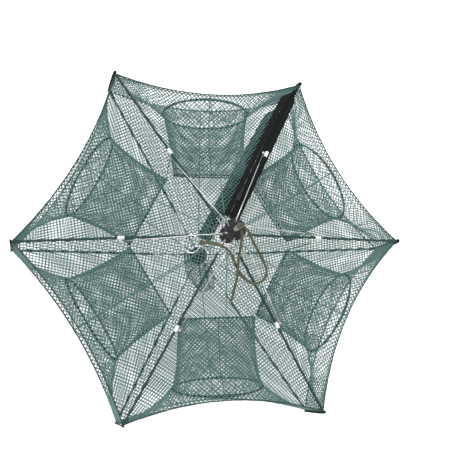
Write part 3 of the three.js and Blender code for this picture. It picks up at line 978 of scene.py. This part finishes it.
def zipBand(level):
    # two woven tapes that meet at the coil, rippled a little along their length
    bm = bmesh.new()
    lift = zipper["lift"][level]
    length = zipper["end"] - zipper["start"]
    low = zipper["aside"] - zipper["width"] / 2
    high = zipper["aside"] + zipper["width"] / 2
    gap = zipper["coilGap"] / 2
    for start, end in ((low, zipper["coilAside"] - gap), (zipper["coilAside"] + gap, high)):
        centre = Vector((zipper["start"] + length / 2, (start + end) / 2, lift))
        bmesh.ops.create_cube(bm, size=1, matrix=Matrix.Translation(centre)
                              @ Matrix.Diagonal((length, end - start, zipper["thickness"], 1)))
    long = [e for e in bm.edges if abs(e.verts[0].co.x - e.verts[1].co.x) > length / 2]
    bmesh.ops.subdivide_edges(bm, edges=long, cuts=90, use_grid_fill=True)
    wide = [e for e in bm.edges if abs(e.verts[0].co.y - e.verts[1].co.y) > 8 * mm]
    bmesh.ops.subdivide_edges(bm, edges=wide, cuts=5, use_grid_fill=True)
    for v in bm.verts:
        edge = abs(v.co.y - zipper["coilAside"]) / zipper["width"]
        v.co.z += zipper["ripple"] * edge * math.sin(v.co.x * 95 + v.co.y * 60)
        wander = noise.noise(Vector((v.co.x * 35, 3.0 if v.co.y > 0 else 8.0, 0)))
        v.co.y = v.co.y * zipTaper(v.co.x) + zipper["wander"] * wander * edge
    return bm


def zipCoil(level):
    bm = bmesh.new()
    length = zipper["end"] - zipper["start"]
    steps = round(length / zipper["coilPitch"]) * zipper["coilFaces"]
    height = zipper["lift"][level] + zipper["coilLift"][level]
    points = []
    for k in range(steps + 1):
        angle = 2 * math.pi * k / zipper["coilFaces"]
        along = zipper["start"] + length * k / steps
        aside = zipper["coilAside"] * zipTaper(along) + zipper["coilAcross"] * math.cos(angle)
        points.append(Vector((along, aside, height + zipper["coilUp"] * math.sin(angle))))
    sweep(bm, points, zipper["coilWire"], 5)
    return bm


def ontoRib(bm, level):
    slope = -ribSlope if level == "top" else ribSlope
    place = (turnZ(ribAngle(zipRib)) @ Matrix.Translation(ribPoint(level, 0))
             @ Matrix.Rotation(-slope, 4, "Y"))
    bmesh.ops.transform(bm, matrix=place, verts=bm.verts)
    bmesh.ops.recalc_face_normals(bm, faces=bm.faces)


pullTab = {
    "size": (20 * mm, 5.5 * mm, 1.1 * mm),
    "edge": 0.5 * mm,
    "fromSlider": (12 * mm, 0, 2.6 * mm),
}


def sliderTab():
    # the pull tab lies along the tape, outward from the slider
    bm = bmesh.new()
    bmesh.ops.create_cube(bm, size=1, matrix=Matrix.Diagonal((*pullTab["size"], 1)))
    bmesh.ops.bevel(bm, geom=bm.edges[:], offset=pullTab["edge"], segments=2, profile=0.5,
                    affect="EDGES", material=-1, clamp_overlap=True)
    place = (Matrix.Translation(middleOf("zip_slider")) @ turnZ(ribAngle(zipRib))
             @ Matrix.Rotation(ribSlope, 4, "Y") @ Matrix.Translation(pullTab["fromSlider"]))
    bmesh.ops.transform(bm, matrix=place, verts=bm.verts)
    return finishPiece("zip_pull_tab", bm, finish["plastic"], smooth=False)


def addZip():
    for level in ("top", "bottom"):
        tape = zipBand(level)
        ontoRib(tape, level)
        tape = finishPiece(f"{level}_zip_band", tape, finish["zipTape"])
        coil = zipCoil(level)
        ontoRib(coil, level)
        coil = finishPiece(f"{level}_zip_coil", coil, finish["coil"])
        for piece in (tape, coil):
            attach(piece, f"{level}_rib_{zipRib}")
            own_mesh(piece)
        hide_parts(f"zip_tape_{level}")
    tab = sliderTab()
    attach(tab, "zip_slider")
    print("zip sewn in")


tuck = {
    "length": 96 * mm,
    "width": 60 * mm,
    "pitch": 2.6 * mm,
    "twine": 1.25 * mm,
    "start": (-22, 8, 10),     # millimetres, beside the lower hub
    "heading": math.radians(-70),
    "above": 9 * mm,
    "pleat": 7 * mm,
    "crumple": 3 * mm,
}


def addTuck():
    # slack in the lower cover, caught up in pleats beside the hub
    bm = diamonds(tuck["length"], tuck["width"], tuck["pitch"])
    along = Vector((math.cos(tuck["heading"]), math.sin(tuck["heading"]), 0))
    across = Vector((-along.y, along.x, 0))
    start = Vector(tuck["start"]) * mm
    rise = math.tan(ribSlope)
    for v in bm.verts:
        u, w = v.co.x, v.co.y / tuck["width"] - 0.5
        narrow = 0.55 + 0.4 * math.sin(math.pi * u / tuck["length"])
        spot = start + along * u + across * (w * tuck["width"] * narrow)
        pleat = tuck["pleat"] * math.cos(w * 9) + tuck["crumple"] * math.sin(w * 21 + u * 70)
        spot.z = trap["bottomPivot"] + spot.to_2d().length * rise + tuck["above"] + pleat
        v.co = spot
    bmesh.ops.recalc_face_normals(bm, faces=bm.faces)
    # its twine colour carries painted shade for the pleats
    piece = finishPiece("slack_tuck", bm, finish["tuckTwinePaintedShade"], smooth=False)
    knit(piece, tuck["twine"])
    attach(piece, "bottom_rib_6")
    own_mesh(piece)
    print("slack tucked")


def dressNodes():
    looks = {"bottom_hub": "plastic", "top_hub": "plastic", "crown": "plastic",
             "zip_slider": "plastic", "guide_tube": "tube", "bottom_hub_wire": "wire",
             "top_hub_wire": "wire", "crown_wire": "wire"}
    for node, look in looks.items():
        holder = bpy.data.objects[node]
        for slot in holder.material_slots:
            slot.material = finish[look]
    print("hubs, tube and slider finished")


studio = {
    "floor": (0.6, 0.6, 0.6),
    "glow": 0.75,              # a lit backdrop, so the floor stays white under the trap
    "floorSize": 12,
    "floorDrop": 0.5 * mm,
    "world": 0.75,
    # name, place, size and power of each lamp
    "lamps": [("key", (-1.2, 1.4, 2.6), 2.2, 55), ("fill", (1.8, -1.0, 2.2), 2.6, 28)],
}


def addStudio():
    bm = bmesh.new()
    bmesh.ops.create_grid(bm, x_segments=1, y_segments=1, size=studio["floorSize"])
    material = bpy.data.materials.new("floor")
    material.use_nodes = True
    shader = material.node_tree.nodes["Principled BSDF"]
    shader.inputs["Base Color"].default_value = (*studio["floor"], 1)
    shader.inputs["Roughness"].default_value = 0.9
    shader.inputs["Emission Color"].default_value = (1, 1, 1, 1)
    shader.inputs["Emission Strength"].default_value = studio["glow"]
    floor = finishPiece("floor", bm, material, smooth=False)
    floor.data.transform(Matrix.Translation((0, 0, -studio["floorDrop"])))
    world = bpy.data.worlds.new("studio")
    world.use_nodes = True
    world.node_tree.nodes["Background"].inputs["Color"].default_value = (1, 1, 1, 1)
    world.node_tree.nodes["Background"].inputs["Strength"].default_value = studio["world"]
    scene.world = world
    for name, spot, size, power in studio["lamps"]:
        data = bpy.data.lights.new(name, "AREA")
        data.size = size
        data.energy = power
        lamp = bpy.data.objects.new(name, data)
        scene.collection.objects.link(lamp)
        lamp.location = spot
        lamp.rotation_euler = (-Vector(spot)).to_track_quat("-Z", "Y").to_euler()
    scene.view_settings.view_transform = "Standard"
    print("studio lit")


addCovers()
addSides()
addEntrances()
addArms()
addCorners()
addZip()
addTuck()
dressNodes()
addStudio()
